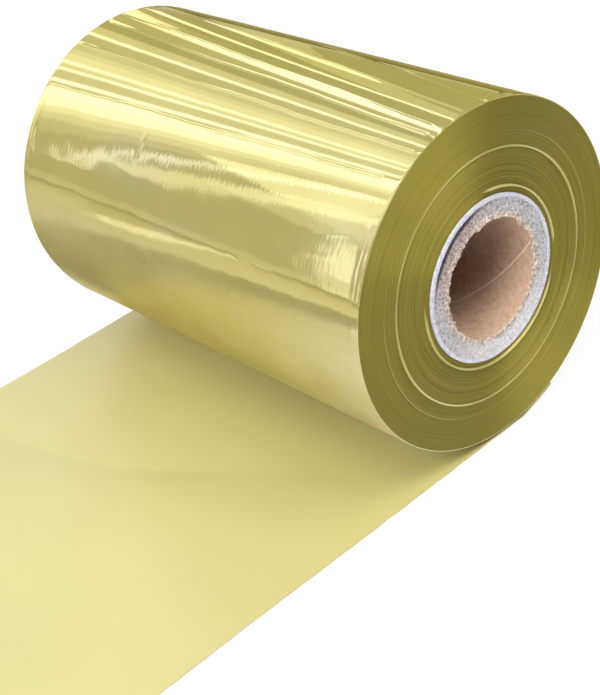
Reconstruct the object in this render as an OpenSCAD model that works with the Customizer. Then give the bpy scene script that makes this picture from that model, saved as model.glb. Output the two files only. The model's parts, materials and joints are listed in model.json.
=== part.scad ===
// Roll of metallised gold film on a spiral-wound paper core, with its free end lying out flat.
// Millimetres. The axis of the roll is X and the origin is on it at mid-width. Z is up.
// The film leaves the roll at its bottom and lies on the table towards -Y.

/* [Film] */
// Width of the film from edge to edge
film_width = 110; // [60:1:300]
// Thickness of the film
film_t = 0.2; // [0.12:0.02:0.4]
// Laps between the core and the inner proud edge
laps_inner = 6; // [3:1:20]
// Laps in each of the three groups between the inner and the middle proud edge
laps_middle = 12; // [4:1:30]
// Laps between the middle and the outer proud edge
laps_upper = 13; // [4:1:30]
// Laps in the group outside the outer proud edge
laps_outer = 15; // [4:1:30]
// Laps in the group under the last lap
laps_top = 17; // [4:1:30]
// Laps that wandered sideways together as a proud edge
laps_proud = 2; // [1:1:4]
// How far the inner and the middle proud edge stand out of the near end
proud_edge = 0.45; // [0.1:0.05:1]
// How far the outer proud edge stands out of the near end
proud_edge_outer = 0.2; // [0:0.05:1]
// Sideways wander of the other lap groups
lap_wander = 0.1; // [0:0.02:0.4]

/* [Core] */
// Diameter of the hole through the core
core_bore_d = 25.4; // [12.7:0.1:76.2]
// How far the core stands out of the film at each end
core_proud = 0.5; // [0.1:0.1:3]
// Thickness of the brown liner ply
liner_t = 0.5; // [0.3:0.05:1]
// Thickness of one grey board ply
board_t = 0.53; // [0.3:0.01:1]
// Thickness of the white cover ply
cover_t = 0.7; // [0.2:0.05:1]
// How far the board plies sit behind the end of the cover ply
board_recess = 0.2; // [0:0.05:0.5]
// Gap between two plies, or between two lap groups
wrap_gap = 0.02; // [0.01:0.01:0.05]

/* [Starter tape] */
// Width of the tape around the core
tape_width = 19; // [10:1:30]
// Thickness of the tape
tape_t = 0.1; // [0.06:0.02:0.16]
// How far the tape stops short of each edge of the film
tape_short = 5; // [2:1:20]
// Clearance of the film over the tape
tape_gap = 0.02; // [0.01:0.01:0.04]
// Angle by which the film stands clear of each long edge of the tape
tape_spare = 1; // [0.5:0.1:3]

/* [Free end] */
// Length of the film on the table, from under the axis to its cut end
tail_length = 128; // [90:1:250]
// Distance from under the axis to the line where the free end lifts
lift_line = 66; // [45:1:80]
// Gap at the lift line
lift_gap = 0.1; // [0.05:0.05:0.3]
// Clearance between the turning roll and the film under it
nip_gap = 0.3; // [0.2:0.05:1]
// Angle past the bottom of the roll at which the film leaves it
peel_angle = 20; // [8:1:30]
// Angle up to which the film is shown lying against the back of the roll
wrap_angle = 36; // [34:1:80]

/* [Hidden] */
$fn = 128;
// Board plies between the liner and the cover
board_plies = 6;
// Straight steps that make up the round part of the rise behind the roll
rise_steps = 8;
// Extra length of a cutting tool past each face it goes through
cut = 1;
bore_r = core_bore_d / 2;
core_length = film_width + 2 * core_proud;
liner_r = bore_r + liner_t;
board_step = board_t + wrap_gap;
cover_r = liner_r + board_plies * board_step + wrap_gap;
core_r = cover_r + cover_t;
// Laps in every group from the core outwards, and the sideways place of each group
lap_counts = [
    laps_inner, laps_proud, laps_middle, laps_middle, laps_middle,
    laps_proud, laps_upper, laps_proud, laps_outer, laps_top
];
lap_shifts = [
    -lap_wander, proud_edge, lap_wander / 2, -lap_wander, lap_wander,
    proud_edge, 0, proud_edge_outer, -lap_wander / 2, lap_wander / 2
];
// Laps wound on before group i
function laps_before(i) = i == 0 ? 0 : laps_before(i - 1) + lap_counts[i - 1];
// Inner radius of group i
function lap_r(i) = core_r + wrap_gap + laps_before(i) * film_t;
last_r = lap_r(len(lap_counts));
roll_r = last_r + film_t;
nip_r = roll_r + nip_gap;
floor_r = nip_r + film_t;
// Where the flat film starts to rise behind the roll, on its upper and its lower side
rise_y = nip_r * tan(peel_angle / 2);
rise_floor_y = floor_r * tan(peel_angle / 2);
tape_angle = tape_width / (PI * (core_r + wrap_gap)) * 180;
tape_length = film_width - 2 * tape_short;

// Round wrap about the axis of the roll
module wrap(r_in, r_out, length, shift = 0) {
    translate([shift, 0, 0])
        rotate([0, 90, 0])
            difference() {
                cylinder(h = length, r = r_out, center = true);
                cylinder(h = length + 2 * cut, r = r_in, center = true);
            }
}

// Part of a round wrap, starting at an angle past the bottom and going on towards +Y
module wrap_part(r_in, r_out, length, from, angle) {
    rotate([from, 0, 0])
        rotate([0, 90, 0])
            rotate_extrude(angle = angle)
                translate([r_in, -length / 2])
                    square([r_out - r_in, length]);
}

module core_inner_liner() {
    color("#a07c62")
        wrap(bore_r, liner_r, core_length);
}

module core_board_ply(i) {
    color("#a9a5a6")
        wrap(
            liner_r + (i - 1) * board_step + wrap_gap,
            liner_r + i * board_step,
            core_length - 2 * board_recess
        );
}

module core_cover_ply() {
    color("#dcdae6")
        wrap(cover_r, core_r, core_length);
}

module starter_tape() {
    color("#e8e4d0")
        wrap_part(core_r + wrap_gap, core_r + wrap_gap + tape_t, tape_length, 0, tape_angle);
}

// Group i of laps, with its own sideways place
module laps(i) {
    color("#8f8038")
        wrap(lap_r(i), lap_r(i + 1) - wrap_gap, film_width, lap_shifts[i]);
}

// The first laps bulge over the tape that holds the start of the film
module film_laps_1() {
    difference() {
        laps(0);
        color("#8f8038")
            wrap_part(
                core_r,
                core_r + wrap_gap + tape_t + tape_gap,
                tape_length + 2 * tape_gap,
                -tape_spare,
                tape_angle + 2 * tape_spare
            );
    }
}

module film_last_lap() {
    color("#c9b96a")
        wrap(last_r, roll_r, film_width);
}

// Point on a round about the axis, at an angle past the bottom towards +Y
function round_point(r, angle) = [r * sin(angle), -r * cos(angle)];

// The film behind the roll: a short straight rise, then round against the roll
module film_rise() {
    rise_step = (wrap_angle - peel_angle) / rise_steps;
    color("#c9b96a")
        rotate([90, 0, 90])
            linear_extrude(height = film_width, center = true)
                polygon(concat(
                    [[rise_y, -nip_r], [rise_y, -floor_r], [rise_floor_y, -floor_r]],
                    [for (i = [0 : rise_steps]) round_point(floor_r, peel_angle + i * rise_step)],
                    [for (i = [0 : rise_steps]) round_point(nip_r, wrap_angle - i * rise_step)]
                ));
}

// Flat film between two distances along Y
module flat_film(y_from, y_to) {
    translate([-film_width / 2, y_from, -floor_r])
        cube([film_width, y_to - y_from, film_t]);
}

module film_tail() {
    color("#d9cd8c")
        flat_film(-lift_line, rise_y);
}

module film_tail_end() {
    color("#d9cd8c")
        flat_film(-tail_length, -lift_line - lift_gap);
}

core_inner_liner();
core_board_ply(1);  // core_board_ply_1
core_board_ply(2);  // core_board_ply_2
core_board_ply(3);  // core_board_ply_3
core_board_ply(4);  // core_board_ply_4
core_board_ply(5);  // core_board_ply_5
core_board_ply(6);  // core_board_ply_6
core_cover_ply();
starter_tape();
film_laps_1();
laps(1);  // film_proud_laps_1
laps(2);  // film_laps_2
laps(3);  // film_laps_3
laps(4);  // film_laps_4
laps(5);  // film_proud_laps_2
laps(6);  // film_laps_5
laps(7);  // film_proud_laps_3
laps(8);  // film_laps_6
laps(9);  // film_laps_7
film_last_lap();
film_rise();
film_tail();
film_tail_end();
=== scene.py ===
# %% [markdown]
# A roll of mirror-gold film on a paper core, with its free end lying out flat in front of it.
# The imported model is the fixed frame: every radius and width below is read from it, so the looks
# always fit the solids. Blender works in metres here, with the axis of the roll along X, up along Z
# and the free film running out towards -Y.

import json
import math

import bpy
import numpy as np
from mathutils import Matrix, Vector


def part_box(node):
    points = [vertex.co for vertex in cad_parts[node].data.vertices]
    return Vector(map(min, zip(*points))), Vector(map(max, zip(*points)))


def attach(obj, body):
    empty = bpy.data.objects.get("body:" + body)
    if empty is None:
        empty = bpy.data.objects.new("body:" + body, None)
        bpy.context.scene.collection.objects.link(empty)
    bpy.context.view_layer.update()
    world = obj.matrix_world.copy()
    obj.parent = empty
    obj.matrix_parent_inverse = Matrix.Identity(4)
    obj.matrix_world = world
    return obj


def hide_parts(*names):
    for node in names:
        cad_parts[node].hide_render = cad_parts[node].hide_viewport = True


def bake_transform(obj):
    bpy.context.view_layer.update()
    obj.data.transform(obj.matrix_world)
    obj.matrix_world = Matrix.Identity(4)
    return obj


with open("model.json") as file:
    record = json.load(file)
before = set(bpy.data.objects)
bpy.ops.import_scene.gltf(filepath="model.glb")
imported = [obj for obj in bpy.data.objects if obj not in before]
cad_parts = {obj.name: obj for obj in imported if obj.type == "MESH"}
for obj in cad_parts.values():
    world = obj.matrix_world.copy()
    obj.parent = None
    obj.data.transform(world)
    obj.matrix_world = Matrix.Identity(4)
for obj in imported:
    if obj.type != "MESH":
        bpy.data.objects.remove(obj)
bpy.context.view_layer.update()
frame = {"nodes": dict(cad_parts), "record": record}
print("nodes:", len(frame["nodes"]))

# %% [markdown]
# The wound pieces are rings, one inside the other. A ring's outer radius is half of its box, and
# its inner radius is where the ring before it ends. The hole's radius is the mount in the record.

# %% Sizes of the wound rings
MM = 0.001
BOARD_PLIES = [f"core_board_ply_{i}" for i in range(1, 7)]
LAP_GROUPS = [
    "film_laps_1", "film_proud_laps_1", "film_laps_2", "film_laps_3", "film_laps_4",
    "film_proud_laps_2", "film_laps_5", "film_proud_laps_3", "film_laps_6", "film_laps_7",
]
RINGS = ["core_inner_liner", *BOARD_PLIES, "core_cover_ply", *LAP_GROUPS, "film_last_lap"]


def outer_radius(node):
    """Half of a ring's box across the axis."""
    low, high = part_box(node)
    return (high.y - low.y) / 2


bore_r = next(m["dims"]["r_mm"] for m in frame["record"]["mounts"] if m["name"] == "core_bore") * MM
ring_inner = {}
ring_outer = {}
reached = bore_r
for node in RINGS:
    ring_inner[node] = reached
    reached = outer_radius(node)
    ring_outer[node] = reached

roll_r = ring_outer["film_last_lap"]
core_r = ring_outer["core_cover_ply"]
film_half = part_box("film_last_lap")[1].x
core_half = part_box("core_cover_ply")[1].x
board_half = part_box("core_board_ply_1")[1].x
floor_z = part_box("film_tail")[0].z
film_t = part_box("film_tail")[1].z - floor_z
print(f"roll {2000 * roll_r:.1f} mm across, {2000 * film_half:.1f} mm wide, film {1000 * film_t:.2f} mm")

# %% [markdown]
# The camera comes first, because every later choice is judged through it. Its place was fitted to
# the two round ends of the roll in the picture, and it leans a little to one side. The matrix is
# built from three directions: to the right of the picture, up in it, and back towards the viewer.

# %% Camera
FRAME_LONG_SIDE = 695
FOCAL_PIXELS = 1504.8
SENSOR_WIDTH = 36.0
CAMERA_PLACE = Vector((232.73, -180.34, 152.53)) * MM
CAMERA_AZIMUTH = math.radians(53.46)
CAMERA_ELEVATION = math.radians(32.51)
CAMERA_ROLL = math.radians(-11.46)

back = Vector((
    math.sin(CAMERA_AZIMUTH) * math.cos(CAMERA_ELEVATION),
    -math.cos(CAMERA_AZIMUTH) * math.cos(CAMERA_ELEVATION),
    math.sin(CAMERA_ELEVATION),
))
level = Vector((math.cos(CAMERA_AZIMUTH), math.sin(CAMERA_AZIMUTH), 0))
above = back.cross(level)
right = level * math.cos(CAMERA_ROLL) + above * math.sin(CAMERA_ROLL)
up = above * math.cos(CAMERA_ROLL) - level * math.sin(CAMERA_ROLL)


def facing_matrix(place, x_axis, y_axis, z_axis):
    """Matrix of an object at a place, with its own three axes."""
    return Matrix.Translation(place) @ Matrix((x_axis, y_axis, z_axis)).transposed().to_4x4()


scene = bpy.context.scene
camera_data = bpy.data.cameras.new("camera")
camera_data.sensor_width = SENSOR_WIDTH
camera_data.lens = FOCAL_PIXELS * SENSOR_WIDTH / FRAME_LONG_SIDE
camera = bpy.data.objects.new("camera", camera_data)
camera.matrix_world = facing_matrix(CAMERA_PLACE, right, up, back)
scene.collection.objects.link(camera)
scene.camera = camera
scene.view_settings.view_transform = "Standard"
print(f"lens {camera_data.lens:.1f} mm")

# %% [markdown]
# The surround stands for the walls of the room. One even white would be the simple way, but it would
# drown the lamps and leave the paper and the flat film without any shading. A Light Path node tells
# the rays that are seen, by the camera or in a mirror, from the rays that light a surface, so the
# surround can be brighter to the eye than it is as a lamp.

# %% Surround
SURROUND_SEEN = 0.75
SURROUND_LIGHT = 0.40


def new_nodes(owner):
    """Empties the node tree of a material or world and returns its nodes and links."""
    owner.use_nodes = True
    owner.node_tree.nodes.clear()
    return owner.node_tree.nodes, owner.node_tree.links


def seen_rays(nodes, links):
    """1 for a ray from the camera, from a mirror or through glass, and 0 for light on a surface."""
    path = nodes.new("ShaderNodeLightPath")
    direct = nodes.new("ShaderNodeMath")
    direct.operation = "MAXIMUM"
    links.new(path.outputs["Is Camera Ray"], direct.inputs[0])
    links.new(path.outputs["Is Glossy Ray"], direct.inputs[1])
    seen = nodes.new("ShaderNodeMath")
    seen.operation = "MAXIMUM"
    links.new(direct.outputs[0], seen.inputs[0])
    links.new(path.outputs["Is Transmission Ray"], seen.inputs[1])
    return seen.outputs[0]


world = bpy.data.worlds.new("studio")
scene.world = world
nodes, links = new_nodes(world)
surround = nodes.new("ShaderNodeBackground")
surround.inputs["Color"].default_value = (1.0, 1.0, 1.0, 1)
strength = nodes.new("ShaderNodeMapRange")
strength.inputs["To Min"].default_value = SURROUND_LIGHT
strength.inputs["To Max"].default_value = SURROUND_SEEN
links.new(seen_rays(nodes, links), strength.inputs["Value"])
links.new(strength.outputs["Result"], surround.inputs["Strength"])
links.new(surround.outputs[0], nodes.new("ShaderNodeOutputWorld").inputs["Surface"])
print(f"surround: {SURROUND_SEEN} to the eye, {SURROUND_LIGHT} as a lamp")

# %% [markdown]
# The floor is white paper. A plain diffuse white turns grey away from the lamps, so most of what the
# camera or a mirror sees of it is its own even light, and the rest still takes the shadow of the roll.

# %% White floor
FLOOR_SIZE = 12.0
FLOOR_GAP = 0.1 * MM
FLOOR_OWN_LIGHT = 0.85
floor_material = bpy.data.materials.new("white_floor")
nodes, links = new_nodes(floor_material)
paint = nodes.new("ShaderNodeBsdfDiffuse")
paint.inputs["Color"].default_value = (0.94, 0.94, 0.94, 1)
glow = nodes.new("ShaderNodeEmission")
share = nodes.new("ShaderNodeMath")
share.operation = "MULTIPLY"
share.inputs[1].default_value = FLOOR_OWN_LIGHT
links.new(seen_rays(nodes, links), share.inputs[0])
mix = nodes.new("ShaderNodeMixShader")
links.new(share.outputs[0], mix.inputs["Fac"])
links.new(paint.outputs[0], mix.inputs[1])
links.new(glow.outputs[0], mix.inputs[2])
links.new(mix.outputs[0], nodes.new("ShaderNodeOutputMaterial").inputs["Surface"])

bpy.ops.mesh.primitive_plane_add(size=FLOOR_SIZE, location=(0, 0, floor_z - FLOOR_GAP))
floor = bpy.context.object
floor.name = "floor"
floor.data.materials.append(floor_material)
print(f"floor at {1000 * floor_z:.2f} mm")

# %% [markdown]
# Polished film is a mirror, so what it shows is the room. A picture of a room wrapped round the scene
# would do, but lamps can be moved one at a time. Seen from here, the roll reflects only what stands
# to its left, and anything upright there comes out as a line that fans along the roll. The helpers
# below hang a flat lamp anywhere, or as a strip on a wall to the left.

# %% Lamp helpers
LEFT_WALL = -0.60
LAYER_STEP = 0.5 * MM


def soft_lamp(name, place, facing, upright, size, radiance, colour=(1, 1, 1)):
    """A flat rectangular lamp that faces a direction, with its height along upright."""
    facing = facing.normalized()
    side = upright.cross(facing).normalized()
    light = bpy.data.lights.new(name, "AREA")
    light.shape = "RECTANGLE"
    light.size, light.size_y = size
    light.energy = radiance * math.pi * light.size * light.size_y
    light.color = colour
    lamp = bpy.data.objects.new(name, light)
    lamp.matrix_world = facing_matrix(place, side, side.cross(facing), -facing)
    lamp.visible_camera = False
    scene.collection.objects.link(lamp)
    return lamp


def left_lamp(name, layer, bottom, top, width, radiance, colour):
    """A strip on the left from a (y, z) to a (y, z), on its own layer in front of the wall."""
    foot = Vector((LEFT_WALL + layer * LAYER_STEP, *bottom))
    head = Vector((LEFT_WALL + layer * LAYER_STEP, *top))
    height = (head - foot).length
    middle = (foot + head) / 2
    return soft_lamp(name, middle, Vector((1, 0, 0)), head - foot, (width, height), radiance, colour)


print(f"left wall at {1000 * LEFT_WALL:.0f} mm, layers {1000 * LAYER_STEP:.1f} mm apart")

# %% [markdown]
# The straight lines in the picture all lead back to one row of upright strips, like a window with
# blinds. Wide soft panels give the broad bands, narrow strips the crisp lines. Each lies on a layer of
# its own, so where they overlap their light adds up. Daylight is bluish, which keeps bright gold pale.

# %% Upright lamps
BANK_BOTTOM = 0.02
BANK_TOP = 0.95
DAYLIGHT = (1.0, 1.06, 2.2)
ROOM_LIGHT = (1.0, 1.03, 1.5)
# both edges along Y in metres, and the added light
SOFT_PANELS = [
    (0.520, 0.590, 0.30),
    (0.318, 0.425, 0.15),
    (0.125, 0.245, 0.22),
    (0.185, 0.240, 0.22),
    (-0.170, 0.120, 0.42),
    (-0.065, 0.055, 0.20),
    (-0.050, 0.025, 0.20),
    (-0.365, -0.175, 0.22),
    (-0.330, -0.178, 0.30),
    (-0.300, -0.180, 0.30),
]
CRISP_STRIPS = [
    (0.356, 0.405, 0.95),
    (0.364, 0.394, 0.60),
    (0.296, 0.311, 1.40),
    (0.172, 0.192, 1.20),
    (0.100, 0.117, 1.10),
    (-0.040, -0.022, 0.75),
    (-0.085, -0.066, 1.00),
    (-0.155, -0.135, 1.15),
    (-0.270, -0.182, 0.55),
    (-0.225, -0.190, 0.30),
]


def upright_lamps(name, first_layer, rows, colour):
    """Strips over the whole height of the bank."""
    for number, (y_from, y_to, added) in enumerate(rows):
        foot = ((y_from + y_to) / 2, BANK_BOTTOM)
        head = ((y_from + y_to) / 2, BANK_TOP)
        left_lamp(f"{name}_{number + 1}", first_layer + number, foot, head, y_to - y_from, added, colour)


upright_lamps("soft_panel", 0, SOFT_PANELS, ROOM_LIGHT)
upright_lamps("crisp_strip", len(SOFT_PANELS), CRISP_STRIPS, DAYLIGHT)
print("upright lamps:", len(SOFT_PANELS) + len(CRISP_STRIPS))

# %% [markdown]
# Some lines in the picture cross the others, so their strips lean. Further to the front, where the film
# is ruffled, the same kind of strips come out as feathered streaks and soft patches.

# %% Leaning lamps
left_lamp("leaning_strip_1", 20, (0.425, 0.09), (0.530, 0.66), 0.016, 1.5, DAYLIGHT)
left_lamp("leaning_strip_2", 21, (0.480, 0.05), (0.650, 0.56), 0.016, 1.5, DAYLIGHT)
left_lamp("leaning_strip_3", 22, (0.680, 0.04), (0.790, 0.34), 0.016, 1.2, DAYLIGHT)
left_lamp("feather_strip", 23, (-0.428, 0.11), (-0.355, 0.66), 0.022, 0.80, DAYLIGHT)
left_lamp("feather_panel", 24, (-0.455, 0.20), (-0.500, 0.60), 0.060, 0.60, ROOM_LIGHT)
left_lamp("front_high_panel", 25, (-0.400, 0.44), (-0.400, 0.95), 0.130, 0.85, ROOM_LIGHT)
left_lamp("front_panel", 26, (-0.600, 0.34), (-0.600, 0.95), 0.280, 0.25, ROOM_LIGHT)
left_lamp("front_core_panel", 27, (-0.580, 0.42), (-0.580, 0.95), 0.200, 0.25, ROOM_LIGHT)
left_lamp("near_patch", 28, (-0.770, -0.02), (-0.680, 0.40), 0.120, 0.55, ROOM_LIGHT)
left_lamp("near_patch_core", 29, (-0.740, 0.10), (-0.680, 0.36), 0.070, 0.40, ROOM_LIGHT)

# %% [markdown]
# The lower half of the roll mirrors the floor, and in the picture a bright line crosses it. Followed
# back through the mirror, that line lies on the floor and runs off to the left. So two bars of light
# lie there, where no wall lamp could make the same line.

# %% Bars on the floor
BAR_LIFT = 3 * MM


def floor_bar(name, start, end, width, radiance):
    """A strip that lies on the floor from an (x, y) to an (x, y) and shines up."""
    start = Vector((*start, floor_z + BAR_LIFT))
    end = Vector((*end, floor_z + BAR_LIFT))
    size = (width, (end - start).length)
    soft_lamp(name, (start + end) / 2, Vector((0, 0, 1)), end - start, size, radiance, ROOM_LIGHT)
    print(f"{name}: {1000 * size[1]:.0f} mm long")


floor_bar("floor_bar_1", (-0.17, -0.15), (-0.60, -0.68), 0.020, 0.58)
floor_bar("floor_bar_2", (-0.20, -0.14), (-0.60, -0.48), 0.025, 0.11)

# %% [markdown]
# The paper, the cut edges and the flat film take their light from three soft lamps on the viewer's
# side, which the roll can't show. Two hang high, in front and behind, and make the pale lobes on the
# end of the roll. The third hangs low in front and lightens the flat film beside the roll.

# %% Lamps of the viewer
# place, size and radiance
VIEWER_LAMPS = {
    "viewer_lamp": ((0.42, -0.20, 0.90), (0.8, 0.5), 5.4),
    "rear_lamp": ((0.40, 0.42, 0.90), (0.6, 0.5), 4.8),
    "front_lamp": ((0.10, -0.60, 0.40), (0.5, 0.4), 9.5),
}
for name, (place, size, radiance) in VIEWER_LAMPS.items():
    soft_lamp(name, Vector(place), -Vector(place), Vector((0, 0, 1)), size, radiance)

# %% [markdown]
# Along its top the roll mirrors the floor behind it at a flat angle, which would make a white edge.
# In the picture that band is olive, so something dark lay behind, and something grey lay to the left in
# front. Next to the film that grey is darker, and the card there is painted shade, for the roll's shadow
# on the floor. Three cards, which only mirrors can see, take their place. They lie between the floor and
# the film, so that no white floor shows at the film's edge. The one in front ends at the bank of lamps,
# because no lamp lights what lies behind it.

# %% Cards on the floor
CARD_LIFT = -0.05 * MM
CARD_SEAM = -0.12
CARD_FRONT = -4.00
UNDER_FILM = 5 * MM - film_half


def floor_card(name, colour, x_from, x_to, y_from, y_to):
    """A flat card between the floor and the film that only mirrors can see."""
    material = bpy.data.materials.new(name)
    nodes, links = new_nodes(material)
    paint = nodes.new("ShaderNodeBsdfDiffuse")
    paint.inputs["Color"].default_value = (*colour, 1)
    links.new(paint.outputs[0], nodes.new("ShaderNodeOutputMaterial").inputs["Surface"])
    middle = ((x_from + x_to) / 2, (y_from + y_to) / 2, floor_z + CARD_LIFT)
    bpy.ops.mesh.primitive_plane_add(size=1.0, location=middle)
    card = bpy.context.object
    card.name = name
    card.scale = (x_to - x_from, y_to - y_from, 1.0)
    card.data.materials.append(material)
    card.visible_camera = False
    card.visible_diffuse = False
    card.visible_shadow = False
    print(f"{name}: {x_to - x_from:.2f} by {y_to - y_from:.2f} m")


floor_card("card_behind", (0.37, 0.33, 0.14), -0.80, 0.10, 0.06, 0.84)
floor_card("card_in_front", (0.52, 0.505, 0.455), LEFT_WALL - 0.02, CARD_SEAM, CARD_FRONT, -0.05)
# painted shade: a darker card for the roll's shadow on the floor next to the film
floor_card("shade_card_beside", (0.28, 0.26, 0.175), CARD_SEAM, UNDER_FILM, CARD_FRONT, -0.03)

# %% [markdown]
# The hole of the core is dark inside, so little light comes in along its axis. Darker paper would give
# a dark lip too, so two black flags, of the kind that keeps stray light off a set, hold the light back:
# one just behind the far end, and one on the viewer's side. Neither the camera nor a mirror sees them.

# %% Flags
FLAG_GAP = 3 * MM
flag_black = bpy.data.materials.new("flag_black")
nodes, links = new_nodes(flag_black)
paint = nodes.new("ShaderNodeBsdfDiffuse")
paint.inputs["Color"].default_value = (0.02, 0.02, 0.02, 1)
links.new(paint.outputs[0], nodes.new("ShaderNodeOutputMaterial").inputs["Surface"])


def flag(name, place, radius):
    """A round black flag across the axis of the roll."""
    bpy.ops.mesh.primitive_circle_add(
        radius=radius, fill_type="NGON", location=place, rotation=(0, math.pi / 2, 0)
    )
    disc = bpy.context.object
    disc.name = name
    disc.data.materials.append(flag_black)
    disc.visible_camera = False
    disc.visible_glossy = False
    print(f"{name}: {2000 * radius:.0f} mm across")


flag("far_flag", (-core_half - FLAG_GAP, 0, 0), core_r)
flag("near_flag", (0.60, -0.05, 0.20), 0.50)

# %% [markdown]
# A finish is a material made of nodes, and all finishes here start from one Principled shader. A value
# that is the same all over is set on the shader's own socket, and only what varies comes from nodes.
# Noise could be fixed to the world, but then flecks would swim over a turning roll, so it uses the
# object's own space.

# %% Shader, noise and colours
def finish_nodes(name, metallic, roughness):
    """A new material with a Principled shader; returns it with its nodes, links and shader."""
    material = bpy.data.materials.new(name)
    nodes, links = new_nodes(material)
    shader = nodes.new("ShaderNodeBsdfPrincipled")
    shader.inputs["Metallic"].default_value = metallic
    shader.inputs["Roughness"].default_value = roughness
    links.new(shader.outputs[0], nodes.new("ShaderNodeOutputMaterial").inputs["Surface"])
    print("finish:", name)
    return material, nodes, links, shader


def noise(nodes, links, scale_xyz, detail=3.0, rough=0.55):
    """Noise in object space, with a scale of its own along X, Y and Z."""
    place = nodes.new("ShaderNodeTexCoord")
    stretch = nodes.new("ShaderNodeMapping")
    stretch.inputs["Scale"].default_value = scale_xyz
    links.new(place.outputs["Object"], stretch.inputs["Vector"])
    texture = nodes.new("ShaderNodeTexNoise")
    texture.inputs["Scale"].default_value = 1.0
    texture.inputs["Detail"].default_value = detail
    texture.inputs["Roughness"].default_value = rough
    links.new(stretch.outputs["Vector"], texture.inputs["Vector"])
    return texture.outputs["Fac"]


def ramp(nodes, links, value, stops):
    """Colours at places from 0 to 1."""
    colours = nodes.new("ShaderNodeValToRGB")
    first, last = stops[0], stops[-1]
    colours.color_ramp.elements[0].position = first[0]
    colours.color_ramp.elements[0].color = (*first[1], 1)
    colours.color_ramp.elements[1].position = last[0]
    colours.color_ramp.elements[1].color = (*last[1], 1)
    for place, colour in stops[1:-1]:
        colours.color_ramp.elements.new(place).color = (*colour, 1)
    links.new(value, colours.inputs["Fac"])
    return colours.outputs["Color"]


# %% [markdown]
# Satin gold is the back of the film, which is what the flat part shows. The same metal is seen through
# the base film, so it is paler and has no sharp reflections. A blurred mirror would still show the
# lamps, so this is a soft colour with only a trace of metal, faint clouds and a fine grain as a bump.

# %% Satin gold
SATIN_GRAIN = 0.006 * MM


def spread(nodes, links, value, low, high, start=0.3, end=0.7):
    """Stretches a value between start and end to run from low to high."""
    change = nodes.new("ShaderNodeMapRange")
    change.inputs["From Min"].default_value = start
    change.inputs["From Max"].default_value = end
    change.inputs["To Min"].default_value = low
    change.inputs["To Max"].default_value = high
    links.new(value, change.inputs["Value"])
    return change.outputs["Result"]


def bump(nodes, links, shader, height, distance, strength=1.0):
    """Fine relief that is too small to model."""
    relief = nodes.new("ShaderNodeBump")
    relief.inputs["Strength"].default_value = strength
    relief.inputs["Distance"].default_value = distance
    links.new(height, relief.inputs["Height"])
    links.new(relief.outputs["Normal"], shader.inputs["Normal"])


satin_gold, nodes, links, shader = finish_nodes("satin_gold", metallic=0.1, roughness=0.45)
cloud = noise(nodes, links, (14, 20, 14), detail=2.0)
clouded = ramp(nodes, links, cloud, [(0.3, (0.415, 0.373, 0.144)), (0.7, (0.449, 0.404, 0.161))])
links.new(clouded, shader.inputs["Base Color"])
dull = noise(nodes, links, (70, 70, 70))
links.new(spread(nodes, links, dull, 0.38, 0.5), shader.inputs["Roughness"])
grain = noise(nodes, links, (900, 2600, 900), detail=2.0)
bump(nodes, links, shader, grain, SATIN_GRAIN, 0.5)

# %% [markdown]
# Mirror gold is the outside of the film, metallised and lacquered. One clean metal would be too perfect:
# handling leaves a haze, which makes the gold rougher and a little less metallic. Low on the roll, close
# to the table, the colour is a painted reflection: a paler, duller gold that stands in for the pale flat
# film mirrored there. Both are values painted on the mesh, which this finish reads. Where the film is
# ruffled, hair-fine ripples run round the roll. They are too small to model, so they are a bump,
# strongest where the mesh says so.

# %% Mirror gold
CLEAN_METAL = 0.94
HAZED_METAL = 0.88
CLEAN_BLUR = 0.05
HAZED_BLUR = 0.45
HAIR_HEIGHT = 0.0065 * MM


def painted(nodes, name):
    """A value that was painted on the points of the piece."""
    layer = nodes.new("ShaderNodeAttribute")
    layer.attribute_name = name
    return layer.outputs["Fac"]


def overlay(nodes, links, under, over, share):
    """One colour laid over another where the share is high."""
    blend = nodes.new("ShaderNodeMix")
    blend.data_type = "RGBA"
    links.new(share, blend.inputs["Factor"])
    links.new(under, blend.inputs["A"])
    links.new(over, blend.inputs["B"])
    return blend.outputs["Result"]


def times(nodes, links, one, other):
    """The product of two node values."""
    product = nodes.new("ShaderNodeMath")
    product.operation = "MULTIPLY"
    links.new(one, product.inputs[0])
    links.new(other, product.inputs[1])
    return product.outputs[0]


mirror_gold, nodes, links, shader = finish_nodes("mirror_gold", metallic=CLEAN_METAL, roughness=0.1)
shader.inputs["Specular Tint"].default_value = (0.80, 0.73, 0.42, 1)
tint = noise(nodes, links, (40, 60, 60))
polished = ramp(nodes, links, tint, [(0.3, (0.53, 0.465, 0.160)), (0.7, (0.58, 0.51, 0.180))])
# painted reflection: a paler, duller gold for the pale flat film mirrored low on the roll
painted_reflection_colour = ramp(nodes, links, tint, [(0.3, (0.64, 0.60, 0.41)), (0.7, (0.69, 0.65, 0.44))])
links.new(overlay(nodes, links, polished, painted_reflection_colour, painted(nodes, "painted_reflection")), shader.inputs["Base Color"])
haze = painted(nodes, "haze")
links.new(spread(nodes, links, haze, CLEAN_METAL, HAZED_METAL, 0.0, 1.0), shader.inputs["Metallic"])
cloud = spread(nodes, links, noise(nodes, links, (60, 90, 90)), 0.8, 1.2)
blur = spread(nodes, links, haze, CLEAN_BLUR, HAZED_BLUR, 0.0, 1.0)
links.new(times(nodes, links, blur, cloud), shader.inputs["Roughness"])
hairs = noise(nodes, links, (1500, 380, 380), detail=1.0, rough=0.5)
ruffle = spread(nodes, links, painted(nodes, "ruffle"), 0.05, 1.0, 0.0, 1.0)
bump(nodes, links, shader, times(nodes, links, hairs, ruffle), HAIR_HEIGHT)

# %% [markdown]
# The end of the roll is a stack of cut film edges, and each lap is a line of its own. An image of rings
# would do, but the distance from the axis is easy to get from nodes, so noise along that distance gives
# fine rings of any sharpness.

# %% Shade of the rings
RING_TURN = 30


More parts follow.
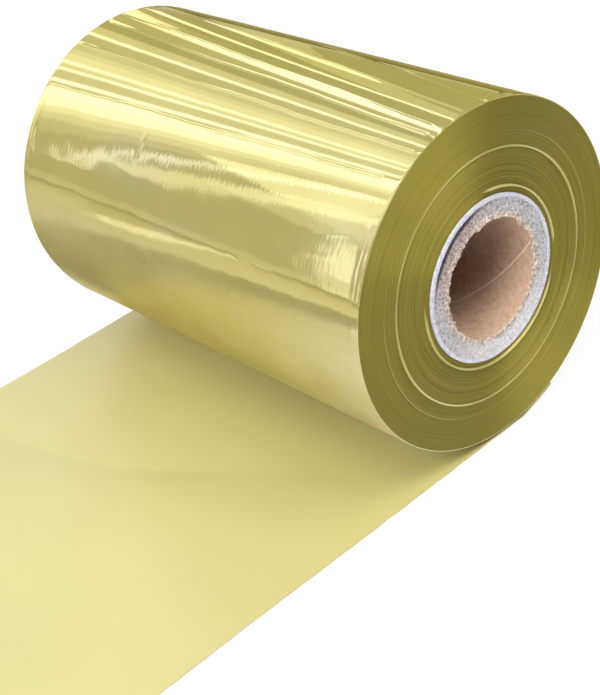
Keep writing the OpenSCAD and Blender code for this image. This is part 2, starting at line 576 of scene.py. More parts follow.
def ring_shade(nodes, links, fineness, seed):
    """Noise that depends on the distance from the axis, and only slowly on the angle."""
    place = nodes.new("ShaderNodeTexCoord")
    parts = nodes.new("ShaderNodeSeparateXYZ")
    links.new(place.outputs["Object"], parts.inputs[0])
    flat = nodes.new("ShaderNodeCombineXYZ")
    links.new(parts.outputs["Y"], flat.inputs["X"])
    links.new(parts.outputs["Z"], flat.inputs["Y"])
    length = nodes.new("ShaderNodeVectorMath")
    length.operation = "LENGTH"
    links.new(flat.outputs[0], length.inputs[0])
    lines = nodes.new("ShaderNodeMath")
    lines.operation = "MULTIPLY"
    lines.inputs[1].default_value = fineness
    links.new(length.outputs["Value"], lines.inputs[0])
    turn = nodes.new("ShaderNodeVectorMath")
    turn.operation = "SCALE"
    turn.inputs["Scale"].default_value = RING_TURN
    links.new(flat.outputs[0], turn.inputs[0])
    ring = nodes.new("ShaderNodeCombineXYZ")
    links.new(lines.outputs[0], ring.inputs["X"])
    ring.inputs["Z"].default_value = seed
    shifted = nodes.new("ShaderNodeVectorMath")
    links.new(ring.outputs[0], shifted.inputs[0])
    links.new(turn.outputs[0], shifted.inputs[1])
    texture = nodes.new("ShaderNodeTexNoise")
    texture.inputs["Scale"].default_value = 1.0
    texture.inputs["Detail"].default_value = 2.0
    links.new(shifted.outputs[0], texture.inputs["Vector"])
    return texture.outputs["Fac"]


# %% [markdown]
# Cut edges spread light across themselves and not along, which gives two pale lobes and two dark ones
# on the end of the roll. An even roughness can't do that, so this finish is anisotropic, with its grain
# running round the axis. Unevenly wound laps differ more in colour. Laps that stand out have a painted
# highlight: a paler colour.

# %% Film edges
RING_FINENESS = 4200
film_edge, nodes, links, shader = finish_nodes("film_edge", metallic=0.92, roughness=0.6)
shader.inputs["Anisotropic"].default_value = 0.9
shader.inputs["Anisotropic Rotation"].default_value = 0.25
grain = nodes.new("ShaderNodeTangent")
grain.direction_type = "RADIAL"
grain.axis = "X"
links.new(grain.outputs["Tangent"], shader.inputs["Tangent"])
rings = ring_shade(nodes, links, RING_FINENESS, 1.0)
even_laps = ramp(nodes, links, rings, [(0.34, (0.268, 0.222, 0.039)), (0.66, (0.293, 0.245, 0.046))])
uneven_laps = ramp(nodes, links, rings, [(0.34, (0.220, 0.180, 0.028)), (0.66, (0.341, 0.287, 0.058))])
level_laps = overlay(nodes, links, even_laps, uneven_laps, painted(nodes, "uneven"))
# painted highlight: the paler colour of laps that stand out
highlight_laps = ramp(nodes, links, rings, [(0.34, (0.60, 0.53, 0.19)), (0.66, (0.88, 0.80, 0.37))])
edge_colour = overlay(nodes, links, level_laps, highlight_laps, painted(nodes, "proud"))
links.new(edge_colour, shader.inputs["Base Color"])

# %% [markdown]
# Paper is pressed fibre: flecked in colour and rough to the touch. Single fibres could be modelled as
# hair, but they are hardly as wide as a pixel here. So one helper makes all papers from two noises, one
# for the flecks and a finer one for the relief, and lays other flecks over them where a mark is painted.

# %% Paper helper
PULP_STRENGTH = 0.8


def paper_finish(name, stops, flecks, pulp, fuzz, marks=()):
    """Flecked paper with pulp relief; marks are other flecks where a name is painted on the mesh."""
    material, nodes, links, shader = finish_nodes(name, metallic=0.0, roughness=0.85)
    fleck = noise(nodes, links, (flecks, flecks, flecks), detail=5.0, rough=0.65)
    colour = ramp(nodes, links, fleck, stops)
    for mark, mark_stops in marks:
        mark_colour = ramp(nodes, links, fleck, mark_stops)
        colour = overlay(nodes, links, colour, mark_colour, painted(nodes, mark))
    links.new(colour, shader.inputs["Base Color"])
    relief = noise(nodes, links, (pulp, pulp, pulp), detail=4.0, rough=0.7)
    bump(nodes, links, shader, relief, fuzz, PULP_STRENGTH)
    return material


# %% [markdown]
# The core has three papers. The liner is brown kraft with a paler line where two turns of it meet. The
# board is grey recycled pulp, torn fuzzy by the saw, with brown stains, paler worn places and a painted
# shade where its outer ply has come away. The cover is a thin bluish white sheet.

# %% Papers of the core
kraft = paper_finish(
    "kraft_paper",
    [(0.3, (0.405, 0.26, 0.167)), (0.5, (0.475, 0.32, 0.22)), (0.72, (0.555, 0.39, 0.277))],
    flecks=900, pulp=2600, fuzz=0.05 * MM,
    marks=[("seam", [(0.3, (0.74, 0.60, 0.48)), (0.7, (0.84, 0.70, 0.58))])],
)
grey_board = paper_finish(
    "grey_board",
    [(0.3, (0.14, 0.132, 0.135)), (0.45, (0.39, 0.378, 0.38)), (0.7, (0.70, 0.675, 0.67))],
    flecks=2200, pulp=3800, fuzz=0.12 * MM,
    marks=[
        ("stained", [(0.3, (0.13, 0.085, 0.065)), (0.5, (0.34, 0.25, 0.20)), (0.7, (0.60, 0.50, 0.43))]),
        ("worn", [(0.3, (0.42, 0.395, 0.395)), (0.6, (0.75, 0.72, 0.72))]),
        # painted shade where the outer ply has come away from the cover
        ("painted_gap_shade", [(0.3, (0.02, 0.02, 0.035)), (0.7, (0.07, 0.07, 0.11))]),
    ],
)
white_cover = paper_finish(
    "white_cover",
    [(0.3, (0.36, 0.355, 0.41)), (0.7, (0.64, 0.635, 0.70))],
    flecks=1300, pulp=3000, fuzz=0.05 * MM,
)

# %% [markdown]
# Two small pieces need a finish of their own: the fibres that the saw tore out round the hole, brown
# with pale tips, and the tape that holds the start of the film to the core. The tape lies inside the
# roll, so it keeps its CAD shape and only gets a finish.

# %% Fibres and tape
torn_fibre = paper_finish(
    "torn_fibre",
    [(0.32, (0.235, 0.155, 0.11)), (0.48, (0.48, 0.39, 0.32)), (0.66, (0.78, 0.72, 0.66))],
    flecks=1500, pulp=4000, fuzz=0.05 * MM,
)
tape = paper_finish(
    "tape",
    [(0.3, (0.74, 0.70, 0.55)), (0.7, (0.82, 0.79, 0.66))],
    flecks=300, pulp=1500, fuzz=0.01 * MM,
)
frame["nodes"]["starter_tape"].data.materials.clear()
frame["nodes"]["starter_tape"].data.materials.append(tape)

# %% [markdown]
# Film wound under tension draws into long creases. In the picture they fan out: close together at the
# near end, wide apart at the far end. A plain grid would cut across them and make them jagged, so the
# columns of the grid fan out in the same way, and a crease runs along a column.

# %% Fan of the columns
FAN_CENTRE = 27.0
FAN = 0.9
FAN_HOLD = (35, 140)
CREASED_FROM = -16.0
FRONT_FROM = 46.0
BACK_FROM = 100.0
INNER_ROWS = 230


def step_up(value, start, end):
    """0 before start, 1 after end, smooth between."""
    t = np.clip((value - start) / (end - start), 0, 1)
    return t * t * (3 - 2 * t)


def fan_angle(column, along):
    """Angle in degrees of a column, named by its angle at the near end."""
    from_centre = column - FAN_CENTRE
    hold = 1 - step_up(np.abs(from_centre), *FAN_HOLD)
    return column + FAN * from_centre * hold * (film_half - along) / (2 * film_half)


creased_columns = np.arange(CREASED_FROM, FRONT_FROM, 0.14)
front_columns = np.arange(FRONT_FROM, BACK_FROM, 0.3)
back_columns = np.arange(BACK_FROM, CREASED_FROM + 360, 0.6)
columns = np.concatenate([creased_columns, front_columns, back_columns])
edge_rows = np.array([0.0, 0.06, 0.2, 0.45, 0.8, 1.2, 1.7, 2.3]) * MM
inner_rows = np.linspace(-film_half + 3 * MM, film_half - 3 * MM, INNER_ROWS)
rows = np.concatenate([-film_half + edge_rows, inner_rows, (film_half - edge_rows)[::-1]])
column, along = np.meshgrid(columns, rows)
angle_deg = fan_angle(column, along)
angle = np.radians(angle_deg)
print(f"outside of the roll: {len(rows)} rows of {len(columns)} columns")

# %% [markdown]
# Each crease is a low rounded ridge. A bump in the finish would shade like one, but on a mirror the eye
# follows the reflection, so the ridges are real. They wobble and swell a little, from seeded random
# values, and stop short of the edge by different amounts.

# %% Creases
# angle at the near end in degrees, height and half-width in mm, stop short of the near edge in mm
CREASES = [
    (-6.8, 0.05, 0.40, 1.0),
    (1.7, 0.04, 0.42, 0.3),
    (11.0, 0.035, 0.40, 2.5),
    (15.5, 0.04, 0.34, 1.5),
    (22.8, 0.035, 0.32, 1.0),
    (32.9, 0.04, 0.30, 4.0),
]
LONG_WOBBLE = 0.16
SHORT_WOBBLE = 0.05
CREASE_FADE = 1.2


def hump(value, middle, half_width):
    """A smooth bump of height 1."""
    return np.exp(-(((value - middle) / half_width) ** 2))


def crease_height(angle_deg, along):
    """Height in mm of all creases."""
    total = np.zeros(angle_deg.shape)
    rng = np.random.default_rng(11)
    for near_angle, height, half_width, short in CREASES:
        wobble = LONG_WOBBLE * np.sin(along / (rng.uniform(5, 9) * MM) + rng.uniform(0, 6))
        wobble = wobble + SHORT_WOBBLE * np.sin(along / (rng.uniform(1.2, 2.0) * MM) + rng.uniform(0, 6))
        off = roll_r / MM * np.radians(angle_deg - fan_angle(near_angle + wobble, along))
        swell = 0.85 + 0.15 * np.sin(along / (rng.uniform(9, 16) * MM) + rng.uniform(0, 6))
        ends = step_up(film_half - along, short * MM, (short + CREASE_FADE) * MM)
        ends = ends * step_up(along + film_half, 0.5 * MM, 3 * MM)
        total = total + height * swell * ends * hump(off, 0, half_width)
    return total


creases = crease_height(angle_deg, along)
print(f"creases: {len(CREASES)}, up to {creases.max():.3f} mm high")

# %% [markdown]
# Below the bright band there are no long creases, but a few short kinks where the film was pinched.
# They cross the columns, so each is measured from a line between its two ends, on the roll as if it
# were laid out flat.

# %% Kinks
# places along the axis in mm and angles in degrees of both ends, height and half-width in mm
KINKS = [
    (-15.0, 43.0, -15.6, 55.0, 0.020, 0.35),
    (-33.4, 76.7, -22.0, 75.4, 0.022, 0.40),
    (20.0, 71.8, 26.0, 70.8, 0.020, 0.40),
    (42.0, 54.5, 51.0, 51.0, 0.020, 0.50),
    (36.0, 62.0, 47.0, 60.0, 0.015, 0.60),
]


def kink_height(angle_deg, along):
    """Height in mm of the kinks."""
    total = np.zeros(angle_deg.shape)
    for x_from, from_deg, x_to, to_deg, height, half_width in KINKS:
        run_x = x_to - x_from
        run_arc = roll_r / MM * math.radians(to_deg - from_deg)
        length = math.hypot(run_x, run_arc)
        off_x = along / MM - x_from
        off_arc = roll_r / MM * np.radians(angle_deg - from_deg)
        forward = (off_x * run_x + off_arc * run_arc) / length
        aside = (off_x * run_arc - off_arc * run_x) / length
        inside = step_up(forward, -0.5, 1.5) * (1 - step_up(forward, length - 1.5, length + 0.5))
        total = total + height * inside * hump(aside, 0, half_width)
    return total


kinks = kink_height(angle_deg, along)
print(f"kinks: {len(KINKS)}, up to {kinks.max():.3f} mm high")

# %% [markdown]
# Over its top the film is drawn taut, and away from it the film is slack and swells in soft waves. Noise
# would do on a dull surface, but a mirror shows every jump of its slope, so the waves are a sum of sines,
# which has none. At both edges the film curls up a little and is rounded over.

# %% Relief of the outside
# angles in degrees from the middle of the taut film, heights in mm
TAUT_MIDDLE = 5
SLACK_ZONE = (33, 55)
LEAST_SLACK = 0.15
SWELL_HEIGHT = 0.022
RIPPLE_HEIGHT = 0.006
CURL_ZONE = (42, 60)
CURL_HEIGHT = 0.06
CURL_PLACE = 1.7
CURL_HALF_WIDTH = 0.4
ROUND_OVER = 0.03
ROUND_OVER_REACH = 0.3 * MM
SKIN_SINK = 0.05


def waves(angle, along, count, crests, shortest, seed):
    """Smooth random field of about -1 to 1 on a roll; it closes on itself round the roll."""
    rng = np.random.default_rng(seed)
    total = np.zeros(np.broadcast(angle, along).shape)
    for _ in range(count):
        turns = int(rng.integers(-crests, crests + 1))
        pace = rng.uniform(-1, 1) * 2 * math.pi / shortest
        phase = rng.uniform(0, 2 * math.pi)
        total = total + np.sin(turns * angle + pace * along + phase)
    return total / math.sqrt(count)


def turn_gap(angle, middle_deg):
    """Difference in degrees between an angle in radians and a place, the short way round."""
    return (np.degrees(angle) - middle_deg + 180) % 360 - 180


from_top = np.abs(turn_gap(angle, TAUT_MIDDLE))
slack = LEAST_SLACK + (1 - LEAST_SLACK) * step_up(from_top, *SLACK_ZONE)
swell = SWELL_HEIGHT * slack * waves(angle, along, count=26, crests=12, shortest=26 * MM, seed=21)
ripple = RIPPLE_HEIGHT * slack * waves(angle, along, count=40, crests=50, shortest=6 * MM, seed=22)
from_edge = film_half - np.abs(along)
curl = CURL_HEIGHT * hump(from_edge / MM, CURL_PLACE, CURL_HALF_WIDTH) * step_up(angle_deg, *CURL_ZONE)
round_over = ROUND_OVER * (1 - step_up(from_edge, 0, ROUND_OVER_REACH))
height = creases + kinks + swell + ripple + curl - round_over - SKIN_SINK
print(f"relief from {height.min():.3f} to {height.max():.3f} mm")

# %% [markdown]
# Every shown piece starts as a grid of points: rows in one direction, columns in the other. Blender's own
# tubes could be edited into shape, but a grid of numbers can be as dense as a crease needs and no denser.
# The helper joins the points into faces and can close the grid in either direction, so that a ring with
# both of its ends is one closed skin.

# %% Grid helper
SHARP_ANGLE = math.radians(50)


def grid_piece(name, points, material, close_rows=False, close_columns=False, cap_ends=False):
    """A smooth mesh from an array of points [row, column, xyz]."""
    rows, columns = points.shape[:2]
    row_count = rows if close_rows else rows - 1
    column_count = columns if close_columns else columns - 1
    i, j = np.meshgrid(np.arange(row_count), np.arange(column_count), indexing="ij")
    next_i = (i + 1) % rows
    next_j = (j + 1) % columns
    corners = [i * columns + j, i * columns + next_j, next_i * columns + next_j, next_i * columns + j]
    faces = [np.stack(corners, axis=-1).reshape(-1, 4)]
    if cap_ends:
        k = np.arange(columns // 2 - 1)
        cap = np.stack([k, columns - 1 - k, columns - 2 - k, k + 1], axis=-1)
        faces += [cap, cap[:, ::-1] + (rows - 1) * columns]
    faces = np.concatenate(faces)
    mesh = bpy.data.meshes.new(name)
    mesh.vertices.add(rows * columns)
    mesh.vertices.foreach_set("co", points.reshape(-1).astype(np.float32))
    mesh.loops.add(faces.size)
    mesh.loops.foreach_set("vertex_index", faces.reshape(-1).astype(np.int32))
    mesh.polygons.add(len(faces))
    mesh.polygons.foreach_set("loop_start", np.arange(0, faces.size, 4, dtype=np.int32))
    mesh.polygons.foreach_set("use_smooth", np.full(len(faces), True))
    mesh.update()
    mesh.validate()
    mesh.set_sharp_from_angle(angle=SHARP_ANGLE)
    mesh.materials.append(material)
    piece = bpy.data.objects.new(name, mesh)
    scene.collection.objects.link(piece)
    print(f"{name}: {len(faces)} faces")
    return piece


# %% [markdown]
# The outside of the roll is one closed thin tube: the relief outside and two plain rows inside. It could
# be a flat sheet bent by a modifier, but a tube has no seam to hide. It turns with the roll, so it rides
# on that body and takes the place of the last lap.

# %% Roll skin
INSIDE_SHORT = 0.05 * MM
INSIDE_OVERLAP = 0.1 * MM


def on_roll(angle, radius, along):
    """Points at an angle from the top towards the free film, a radius and a place on the axis."""
    return np.stack(np.broadcast_arrays(along, -radius * np.sin(angle), radius * np.cos(angle)), axis=-1)


outside = on_roll(angle, roll_r + height * MM, along)
inside_rows = np.array([film_half - INSIDE_SHORT, -film_half + INSIDE_SHORT])[:, None]
inside_r = ring_inner["film_last_lap"] - INSIDE_OVERLAP
inside = on_roll(np.radians(fan_angle(columns, inside_rows)), inside_r, inside_rows)
skin = grid_piece(
    "roll_skin", np.concatenate([outside, inside]), mirror_gold, close_rows=True, close_columns=True
)
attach(skin, "roll")
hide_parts("film_last_lap")

# %% [markdown]
# Haze and ruffle are marks of use on the film and have no shape, and the third value is a painted
# reflection. An image would need unwrapping and a file, so they are painted on the points as plain
# values. The painted reflection is a pale dull gold low on the roll, where it mirrors the pale flat
# film, strongest at the near end, with a few faint patches of it higher up for uneven reflections.

# %% Marks on the skin
# zones in degrees from the middle of the taut film, reaches along the axis
RUFFLE_ZONE = (31, 36)
HANDLED_ZONE = (30, 55)
HANDLED_HAZE = 0.06
TABLE_ZONE = (68, 88)
TABLE_HAZE = 0.94
FAR_HAZE = 0.70
HAZE_REACH = (-20 * MM, 40 * MM)
PAINTED_REFLECTION_ZONE = (66, 80)
FAR_PAINTED_REFLECTION = 0.38
PAINTED_REFLECTION_REACH = (20 * MM, 54 * MM)
PAINTED_PATCH_ZONE = (34, 46)
PATCH_PAINTED_REFLECTION = 0.15


def paint_on(piece, name, values):
    """A value for every point of a piece, which its finish can read."""
    layer = piece.data.attributes.new(name, "FLOAT", "POINT")
    layer.data.foreach_set("value", np.asarray(values, dtype=np.float32).reshape(-1))
    print(f"{piece.name}, {name}: {np.min(values):.2f} to {np.max(values):.2f}")


two_plain_rows = np.zeros((2, len(columns)))
ruffled = step_up(np.abs(turn_gap(np.radians(column), TAUT_MIDDLE)), *RUFFLE_ZONE)
paint_on(skin, "ruffle", np.concatenate([ruffled, two_plain_rows]))
near_half = FAR_HAZE + (1 - FAR_HAZE) * step_up(along, *HAZE_REACH)
hazed = HANDLED_HAZE * step_up(from_top, *HANDLED_ZONE)
hazed = hazed + TABLE_HAZE * near_half * step_up(from_top, *TABLE_ZONE)
paint_on(skin, "haze", np.concatenate([hazed, two_plain_rows]))
# painted reflection low on the roll, strongest at the near end, and faint patches of it higher up
near_painted_reflection = FAR_PAINTED_REFLECTION + (1 - FAR_PAINTED_REFLECTION) * step_up(along, *PAINTED_REFLECTION_REACH)
reflection_patches = np.clip(waves(angle, along, count=18, crests=8, shortest=34 * MM, seed=51), 0, 1)
reflection_patches = PATCH_PAINTED_REFLECTION * reflection_patches * step_up(from_top, *PAINTED_PATCH_ZONE)
painted_reflection = np.maximum(near_painted_reflection * step_up(from_top, *PAINTED_REFLECTION_ZONE), reflection_patches)
paint_on(skin, "painted_reflection", np.concatenate([painted_reflection, two_plain_rows]))

# %% [markdown]
# The wound laps. No lap lies exactly beside the one under it, so each is a step of its own on the end of
# the roll. One flat ring with a bump would look printed, so every lap gets two rows of points and a
# random step that drifts with the angle. The outer laps were wound evenly, those near the core the least.

# %% Uneven laps
END_SEGMENTS = 256
LAP_GROOVE = 0.010
OUT_OF_ROUND = 0.18 * MM
OUT_OF_ROUND_AT = 0.6
LAP_JITTER = {
    "film_laps_1": 0.010, "film_laps_2": 0.014, "film_laps_3": 0.012, "film_laps_4": 0.010,
    "film_laps_5": 0.006, "film_laps_6": 0.002, "film_laps_7": 0.001,
}
MOST_JITTER = max(LAP_JITTER.values())
lap_angles = np.linspace(0, 2 * math.pi, END_SEGMENTS, endpoint=False)


def drift_out(radius, angle):
    """The laps are a little out of round between the core and the outside."""
    t = (radius - core_r) / (roll_r - core_r)
    return radius + OUT_OF_ROUND * np.sin(math.pi * np.clip(t, 0, 1)) * np.cos(angle - OUT_OF_ROUND_AT)


def lap_end(laps, jitter, seed):
    """Sideways offsets in mm of a lap group's edge: two rows for each lap."""
    rng = np.random.default_rng(seed)
    offsets = []
    for _ in range(laps):
        step = rng.uniform(-1, 1) * jitter
        slow = jitter * np.sin(lap_angles * rng.integers(1, 4) + rng.uniform(0, 6))
        offsets.append(step + slow - LAP_GROOVE / 2)
        offsets.append(step + slow)
    return np.array(offsets)


print(f"laps step sideways by up to {2 * MOST_JITTER:.3f} mm")

# %% [markdown]
# A lap group is a ring of laps with both of its ends, and takes the place of one CAD ring. Its radii and
# its sideways place come from that ring. Where a group stands out can change round the roll, so proud is
# a value from 0 to 1 for every angle. In the proud groups it also sets a painted highlight.

# %% Lap group
PROUD_JITTER = 0.01
LAP_EDGE = 0.08


def lap_group(node, proud, seed):
    """Ring of laps with both of its ends; proud is how far each angle stands out, from 0 to 1."""
    inner, outer = ring_inner[node], ring_outer[node]
    laps = max(1, round((outer - inner) / film_t))
    lap_t = (outer - inner) / laps
    starts = inner + lap_t * np.arange(laps)
    radii = np.sort(np.concatenate([starts + LAP_EDGE * lap_t, starts + (1 - LAP_EDGE) * lap_t]))
    low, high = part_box(node)
    jitter = LAP_JITTER.get(node, PROUD_JITTER)
    radius = drift_out(radii[:, None], lap_angles[None, :])
    near_x = film_half + (high.x - film_half) * proud + lap_end(laps, jitter, seed) * MM
    far_x = -film_half + (low.x + film_half) * proud - lap_end(laps, jitter, seed + 50) * MM
    near = on_roll(lap_angles[None, :], radius, near_x)
    far = on_roll(lap_angles[None, :], radius, far_x)
    piece = grid_piece(
        node.replace("film", "wound"), np.concatenate([near, far[::-1]]), film_edge,
        close_rows=True, close_columns=True,
    )
    # painted highlight: only the proud groups get the paler colour, as far as they stand out
    painted_highlight = proud if "proud" in node else 0 * proud
    paint_on(piece, "proud", np.broadcast_to(painted_highlight, (4 * laps, END_SEGMENTS)))
    paint_on(piece, "uneven", np.full((4 * laps, END_SEGMENTS), min(1, jitter / MOST_JITTER + 0.1)))
    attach(piece, "roll")
    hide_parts(node)


# %% [markdown]
# Three times during winding the film wandered sideways, and those laps stand out. They show as bright
# rings through a painted highlight. In the picture the inner ring shows only along two arcs, and the other
# two grow and fade twice round the roll. All other groups are nearly level.

# %% Wound laps
LEVELLED = 0.75


def arc_share(angles, middle_deg, full_deg, gone_deg):
    """1 up to full_deg on both sides of a place round the axis, fading to 0 at gone_deg."""
    return 1 - step_up(np.abs(turn_gap(angles, middle_deg)), full_deg, gone_deg)


# how far each angle stands out, which also sets the painted highlight on these rings
PROUD = {
    "film_proud_laps_1": np.maximum(arc_share(lap_angles, 165, 70, 90), arc_share(lap_angles, -48, 40, 48)),
    "film_proud_laps_2": 0.55 + 0.35 * np.cos(2 * (lap_angles - 2.2)),
    "film_proud_laps_3": 0.12 + 0.12 * np.cos(2 * (lap_angles - 2.0)),
}
level_end = np.full(END_SEGMENTS, 1 - LEVELLED)
for number, node in enumerate(LAP_GROUPS):
    lap_group(node, PROUD.get(node, level_end), 100 + number)
print("lap groups:", len(LAP_GROUPS))

# %% [markdown]
# The core is a tube of paper plies, glued one on the other and sawn to length. Each ply is a ring. A
# displacement modifier could roughen its ends, but pushing the points of the end face about at random
# does the same and leaves the round walls clean.

# %% Ply helper
CORE_SEGMENTS = 540
core_angles = np.linspace(0, 2 * math.pi, CORE_SEGMENTS, endpoint=False)


def ply(name, node, material, half_length, rough_mm, rings, seed):
    """A paper ring with fuzzy ends."""
    inner, outer = ring_inner[node], ring_outer[node]
    radii = np.linspace(inner, outer, rings)
    ends = []
    for sign, shift in ((1, 0), (-1, 40)):
        rng = np.random.default_rng(seed + shift)
        fuzz = rng.uniform(-1, 1, (rings, CORE_SEGMENTS)) * rough_mm * MM
        ends.append(on_roll(core_angles[None, :], radii[:, None], sign * (half_length + fuzz)))
    piece = grid_piece(
        name, np.concatenate([ends[0], ends[1][::-1]]), material, close_rows=True, close_columns=True
    )
    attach(piece, "roll")
    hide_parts(node)
    return piece


# %% [markdown]
# Over a quarter turn the outermost board ply has come away from the white cover, and the shade in that
# opening is a dark crescent. A slit could be cut into the mesh, but it is hardly wider than the fuzz of the
# saw cut, so the crescent is painted shade, widest in its middle. The board beside it is stained brown, and
# opposite it is worn and paler.

# %% Board and cover
BOARD_ROWS = 6
BOARD_FUZZ = 0.12
COVER_ROWS = 5
COVER_FUZZ = 0.06
STAIN_SHARE = 0.8
# painted shade: a dark crescent where the outer ply has come away
shade_crescent = arc_share(core_angles, 38, 15, 52)
worn = arc_share(core_angles, 190, 20, 75)
stained = STAIN_SHARE * arc_share(core_angles, 42, 15, 60)
# in plies from the cover
shade_full = 0.9 + 0.8 * shade_crescent
shade_gone = 1.0 + 1.6 * shade_crescent
for number, node in enumerate(BOARD_PLIES):
    name = f"board_{number + 1}"
    board = ply(name, node, grey_board, board_half, BOARD_FUZZ, BOARD_ROWS, 310 + number)
    from_cover = (len(BOARD_PLIES) - number - np.linspace(0, 1, BOARD_ROWS))[:, None]
    shade_share = shade_crescent * (1 - step_up(from_cover, shade_full, shade_gone))
    paint_on(board, "painted_gap_shade", np.concatenate([shade_share, shade_share[::-1]]))
    paint_on(board, "worn", np.broadcast_to(worn, (2 * BOARD_ROWS, CORE_SEGMENTS)))
    paint_on(board, "stained", np.broadcast_to(stained, (2 * BOARD_ROWS, CORE_SEGMENTS)))
ply("cover", "core_cover_ply", white_cover, core_half, COVER_FUZZ, COVER_ROWS, 330)

# %% [markdown]
# The brown liner is a strip wound in a spiral, so its edge shows as one slanting line inside the hole.
# A line drawn by the finish would have no thickness, so the wall has a low ridge there. The columns of
# its grid follow the spiral and close up at the seam, which keeps the ridge crisp.

# %% Liner
SEAM_START_DEG = -85.7
SEAM_START = 53.9 * MM
SEAM_DEG_PER_MM = 5.85
SEAM_HALF_DEG = 0.9
SEAM_RIDGE = 0.14
WALL_SINK = 0.10
LINER_SHORT = 0.4 * MM
liner_outer = ring_outer["core_inner_liner"]
liner_along = np.linspace(core_half - LINER_SHORT, -core_half + LINER_SHORT, 220)[:, None]
seam_deg = SEAM_START_DEG + SEAM_DEG_PER_MM * (liner_along - SEAM_START) / MM
past_seam = np.concatenate([np.arange(-6, 6, 0.4), np.linspace(6, 354, 160, endpoint=False)])[None, :]
seam = hump(past_seam, 0, SEAM_HALF_DEG)
liner_angles = np.radians(seam_deg + past_seam)
wall_r = bore_r + (WALL_SINK * step_up(np.abs(past_seam), 0, 60) - SEAM_RIDGE * seam) * MM
wall = on_roll(liner_angles, wall_r, liner_along)
outer_wall = on_roll(liner_angles, liner_outer, liner_along)[::-1]
liner = grid_piece("liner", np.concatenate([wall, outer_wall]), kraft, close_rows=True, close_columns=True)
paint_on(liner, "seam", np.broadcast_to(seam, (2 * len(liner_along), seam.shape[1])))
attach(liner, "roll")
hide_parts("core_inner_liner")

# %% [markdown]
# Where the saw came through, the liner tore, and a ragged lip of pale fibres stands round the hole. Hair
# could stand for the fibres, but from here they read as one torn edge. So the lip is a thin ring whose
# inner edge is a row of random teeth, coarse and fine ones together.

# %% Torn lips
LIP_SEGMENTS = 900
LIP_LIFT = 0.16
LIP_TOP = 0.05 * MM
LIP_UNDER = 0.35 * MM
lip_angles = np.linspace(0, 2 * math.pi, LIP_SEGMENTS, endpoint=False)


def around(rng, count):
    """Random values from 0 to 1 at a count of places round the hole, joined by straight lines."""
    values = rng.uniform(0, 1, count)
    return np.interp(lip_angles / (2 * math.pi) * count, np.arange(count + 1), np.append(values, values[0]))


def torn_lip(name, sign, seed):
    """A ragged ring of fibres; the tears are large over the top of the hole and small below."""
    rng = np.random.default_rng(seed)
    ragged = 0.25 + 0.75 * arc_share(lip_angles, 20, 90, 150)
    coarse_teeth = 0.75 * around(rng, 70) ** 2.2
    fine_teeth = 0.35 * around(rng, 230) ** 1.5
    teeth = (0.1 + coarse_teeth + fine_teeth) * ragged
    torn_back = 0.05 + 0.9 * around(rng, 40) ** 1.5 * around(rng, 260)
    shares = np.array([0.0, 0.25, 0.5, 0.75, 1.0])[:, None]
    inner = bore_r - teeth * MM
    outer = liner_outer + torn_back * MM
    radius = inner + (outer - inner) * shares
    lift = rng.uniform(-LIP_LIFT, LIP_LIFT, radius.shape) * MM
    top = on_roll(lip_angles[None, :], radius, sign * (core_half - LIP_TOP + lift))
    under = on_roll(lip_angles[None, :], radius, sign * (core_half - LIP_UNDER + 0.5 * lift))
    loop = np.concatenate([top, under[::-1]])
    outward = loop if sign > 0 else loop[::-1]
    piece = grid_piece(name, outward, torn_fibre, close_rows=True, close_columns=True)
    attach(piece, "roll")


torn_lip("torn_lip_near", 1, 400)
torn_lip("torn_lip_far", -1, 401)

# %% [markdown]
# The free end of the film comes down the back of the roll, lies flat under it and runs out to the front.
# Seen from the side it is one line: a short arc a little past the place where the film leaves the roll,
# then straight. The length of that line is the length of the sheet if it were laid out flat.

# %% Line of the free film
PAST_PEEL = math.radians(3)
LINE_POINTS = 220
tail_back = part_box("film_tail")[1].y
free_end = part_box("film_tail_end")[0].y
mid_z = floor_z + film_t / 2
under_r = -mid_z
peel = 2 * math.atan(tail_back / (under_r - film_t / 2))
arc = np.linspace(peel + PAST_PEEL, peel, 6)
flat_y = np.linspace(tail_back * 0.8, free_end, LINE_POINTS)
line = np.concatenate([
    np.stack([under_r * np.sin(arc), -under_r * np.cos(arc)], axis=-1),
    np.stack([flat_y, np.full(LINE_POINTS, mid_z)], axis=-1),
])
step_line = np.gradient(line, axis=0)
up_line = np.stack([step_line[:, 1], -step_line[:, 0]], axis=-1)
up_line = up_line / np.linalg.norm(up_line, axis=1, keepdims=True)

# %% [markdown]
# The free film isn't quite flat. It buckles softly in front, and in the picture a fold runs slantwise over
# it from the far edge, bends towards the roll and fades. A cloth simulation would give some fold, but not
# this one, so its line is written down: a slant that grows past a turning place. Beyond the line the film
# rises quickly and comes down again slowly.

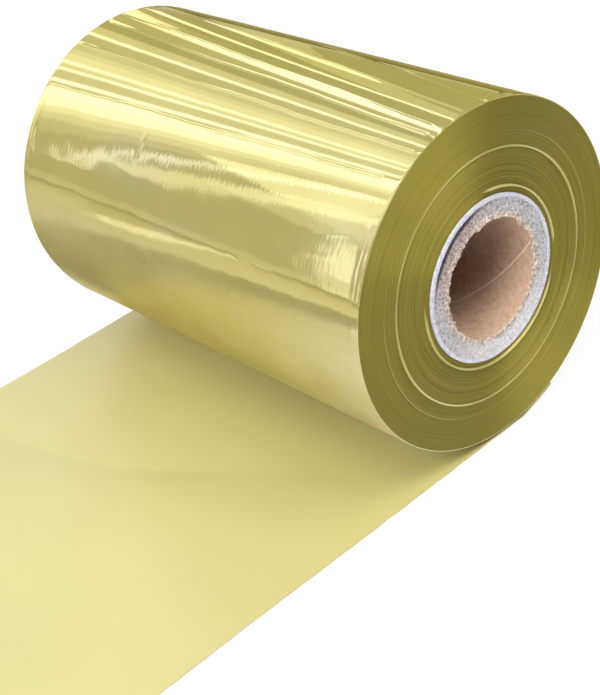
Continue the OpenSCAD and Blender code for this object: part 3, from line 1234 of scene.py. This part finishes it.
# %% Buckle and fold
BUCKLE = 0.16 * MM
BUCKLE_ZONE = (38 * MM, 75 * MM)
BUCKLE_PACE = 40
FOLD_HEIGHT = 1.2 * MM
FOLD_RISE = 22 * MM
FOLD_END = 58 * MM
FOLD_TURN = 5 * MM
FOLD_FROM = -60
FOLD_SLANT = 1.2
FOLD_MORE_SLANT = 2.15
FOLD_FADE = 50 * MM
across = np.linspace(-film_half, film_half, 120)
line_y = line[:, 0][:, None]
in_front = step_up(-line_y, *BUCKLE_ZONE)
unrest = waves(across[None, :] * BUCKLE_PACE, line_y, count=14, crests=2, shortest=60 * MM, seed=41)
buckle = BUCKLE * (1 + unrest) * in_front
past_turn = (across[None, :] + FOLD_TURN) / FOLD_TURN
fold_line = (FOLD_FROM + FOLD_SLANT * past_turn + FOLD_MORE_SLANT * np.log1p(np.exp(past_turn))) * MM
past_fold = fold_line - line_y
rise = 1 - (1 - np.clip(past_fold / FOLD_RISE, 0, 1)) ** 2
fold = FOLD_HEIGHT * rise * (1 - step_up(past_fold, FOLD_RISE, FOLD_END))
fold = fold * (1 - step_up(across[None, :], 0, FOLD_FADE))
print(f"buckle up to {1000 * np.abs(buckle).max():.2f} mm, fold up to {1000 * fold.max():.2f} mm")

# %% [markdown]
# The sheet has two faces, half its thickness to either side of the line, and long edges that aren't cut
# quite straight. A Solidify modifier would give the thickness too, but two grids joined at their edges
# keep it exact.

# %% Free film
EDGE_WOBBLE = 0.06 * MM
edge_wobble = EDGE_WOBBLE * waves(0 * line_y, line_y, count=12, crests=1, shortest=5 * MM, seed=43)


def film_side(offset):
    """One face of the film, half its thickness from the middle."""
    y = line_y + up_line[:, 0][:, None] * offset + 0 * across
    z = line[:, 1][:, None] + up_line[:, 1][:, None] * offset + np.abs(buckle) + fold
    x = across[None, :] + edge_wobble * (across / film_half)[None, :] ** 9
    return np.stack([x, y, z], axis=-1)


upper = film_side(film_t / 2)
lower = film_side(-film_t / 2)
free_film = grid_piece(
    "free_film", np.concatenate([upper, lower[:, ::-1]], axis=1), satin_gold,
    close_columns=True, cap_ends=True,
)
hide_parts("film_rise", "film_tail", "film_tail_end")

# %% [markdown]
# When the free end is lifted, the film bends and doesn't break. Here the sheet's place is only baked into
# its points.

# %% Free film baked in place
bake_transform(free_film)
